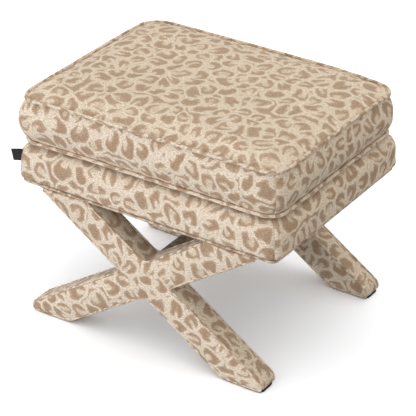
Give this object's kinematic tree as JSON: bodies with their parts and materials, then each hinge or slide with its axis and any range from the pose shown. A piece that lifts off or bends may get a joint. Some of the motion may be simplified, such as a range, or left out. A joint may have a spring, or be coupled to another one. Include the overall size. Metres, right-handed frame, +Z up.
{
  "type": "upholstered stool",
  "caption": "Rectangular upholstered stool: loose piped box cushion on a padded base box, carried by crossed X-shaped legs at front and rear with a stretcher between them.",
  "frame": {"origin": "on the floor, under the middle of the stool", "axes": "+X to the right along the long side, +Y to the rear, +Z up"},
  "size_m": [0.6254, 0.4874, 0.5064],
  "materials": {
    "leopard_chenille": "soft woven chenille, leopard spots on cream",
    "platform_lining": "plain woven lining",
    "black_nonwoven": "thin matt nonwoven cloth",
    "seat_foam": "open-cell foam",
    "polyester_fibre": "carded fibre",
    "softwood": "planed, unfinished",
    "beech": "planed, unfinished",
    "plywood": "sanded, unfinished",
    "zinc_plated_steel": "bright zinc plate",
    "black_felt_pad": "pressed felt",
    "black_woven_tag": "blank woven ribbon",
    "zip_tape": "woven polyester tape",
    "nylon_coil": "satin moulded coil"
  },
  "bodies": {
    "base": {"front_rail": "softwood", "rear_rail": "softwood", "left_rail": "softwood", "right_rail": "softwood", "front_leg_cleat": "beech", "rear_leg_cleat": "beech", "deck_board": "plywood", "base_cover_right": "leopard_chenille", "base_cover_rear": "leopard_chenille", "base_cover_left": "leopard_chenille", "base_cover_front": "leopard_chenille", "base_piping": "leopard_chenille", "base_side_wadding": "polyester_fibre", "platform_cloth": "platform_lining", "base_top_foam": "seat_foam", "dust_cover": "black_nonwoven", "side_tag": "black_woven_tag", "front_leg_left_foot_bar": "beech", "front_leg_right_foot_bar": "beech", "front_leg_cover": "leopard_chenille", "front_leg_wadding": "polyester_fibre", "front_leg_lower_piping": "leopard_chenille", "front_leg_upper_piping": "leopard_chenille", "front_left_foot_pad": "black_felt_pad", "front_right_foot_pad": "black_felt_pad", "rear_leg_left_foot_bar": "beech", "rear_leg_right_foot_bar": "beech", "rear_leg_cover": "leopard_chenille", "rear_leg_wadding": "polyester_fibre", "rear_leg_lower_piping": "leopard_chenille", "rear_leg_upper_piping": "leopard_chenille", "rear_left_foot_pad": "black_felt_pad", "rear_right_foot_pad": "black_felt_pad", "leg_bolt_1": "zinc_plated_steel", "leg_bolt_2": "zinc_plated_steel", "leg_bolt_3": "zinc_plated_steel", "leg_bolt_4": "zinc_plated_steel", "leg_bolt_5": "zinc_plated_steel", "leg_bolt_6": "zinc_plated_steel", "leg_bolt_7": "zinc_plated_steel", "leg_bolt_8": "zinc_plated_steel", "stretcher_cover": "leopard_chenille", "stretcher_wadding": "polyester_fibre", "stretcher_core": "beech", "stretcher_bolt_front": "zinc_plated_steel", "stretcher_bolt_rear": "zinc_plated_steel"},
    "cushion": {"cushion_band_right": "leopard_chenille", "cushion_band_left": "leopard_chenille", "cushion_band_front": "leopard_chenille", "cushion_zip_band": "leopard_chenille", "cushion_top_panel": "leopard_chenille", "cushion_bottom_panel": "leopard_chenille", "cushion_top_fibre": "polyester_fibre", "cushion_foam": "seat_foam", "cushion_top_piping": "leopard_chenille", "cushion_bottom_piping": "leopard_chenille", "zip_tape": "zip_tape", "zip_coil": "nylon_coil"},
    "zip_slider": {"zip_slider": "zinc_plated_steel"}
  },
  "joints": [
    {"name": "cushion_lift", "type": "slide", "parent": "base", "child": "cushion", "axis": [0, 0, 1], "range_m": [0, 0.15]},
    {"name": "zip_slide", "type": "slide", "parent": "cushion", "child": "zip_slider", "axis": [1, 0, 0], "range_m": [0, 0.429]}
  ]
}
